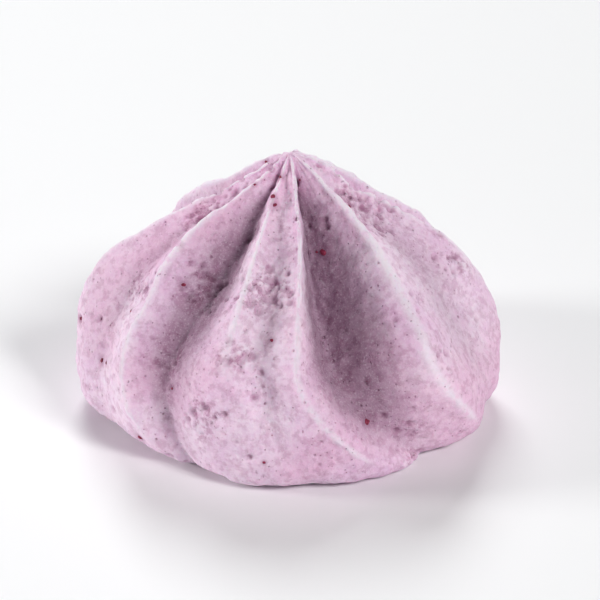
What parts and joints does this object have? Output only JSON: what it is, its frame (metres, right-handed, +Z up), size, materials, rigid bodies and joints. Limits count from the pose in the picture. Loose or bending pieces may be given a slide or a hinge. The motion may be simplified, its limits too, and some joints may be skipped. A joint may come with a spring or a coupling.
{
  "type": "meringue cookie",
  "caption": "Small piped meringue kiss with uneven star pleats running from a flat underside up to a point.",
  "frame": {"origin": "middle of the flat underside, on the surface that the piece stands on", "axes": "+Z up from the underside to the point, -Y towards the front"},
  "size_m": [0.0375, 0.0364, 0.0238],
  "materials": {
    "meringue": "dry matt whipped sugar crust, pale raspberry pink, pin-holed"
  },
  "bodies": {
    "root": {"meringue": "meringue"}
  },
  "joints": []
}
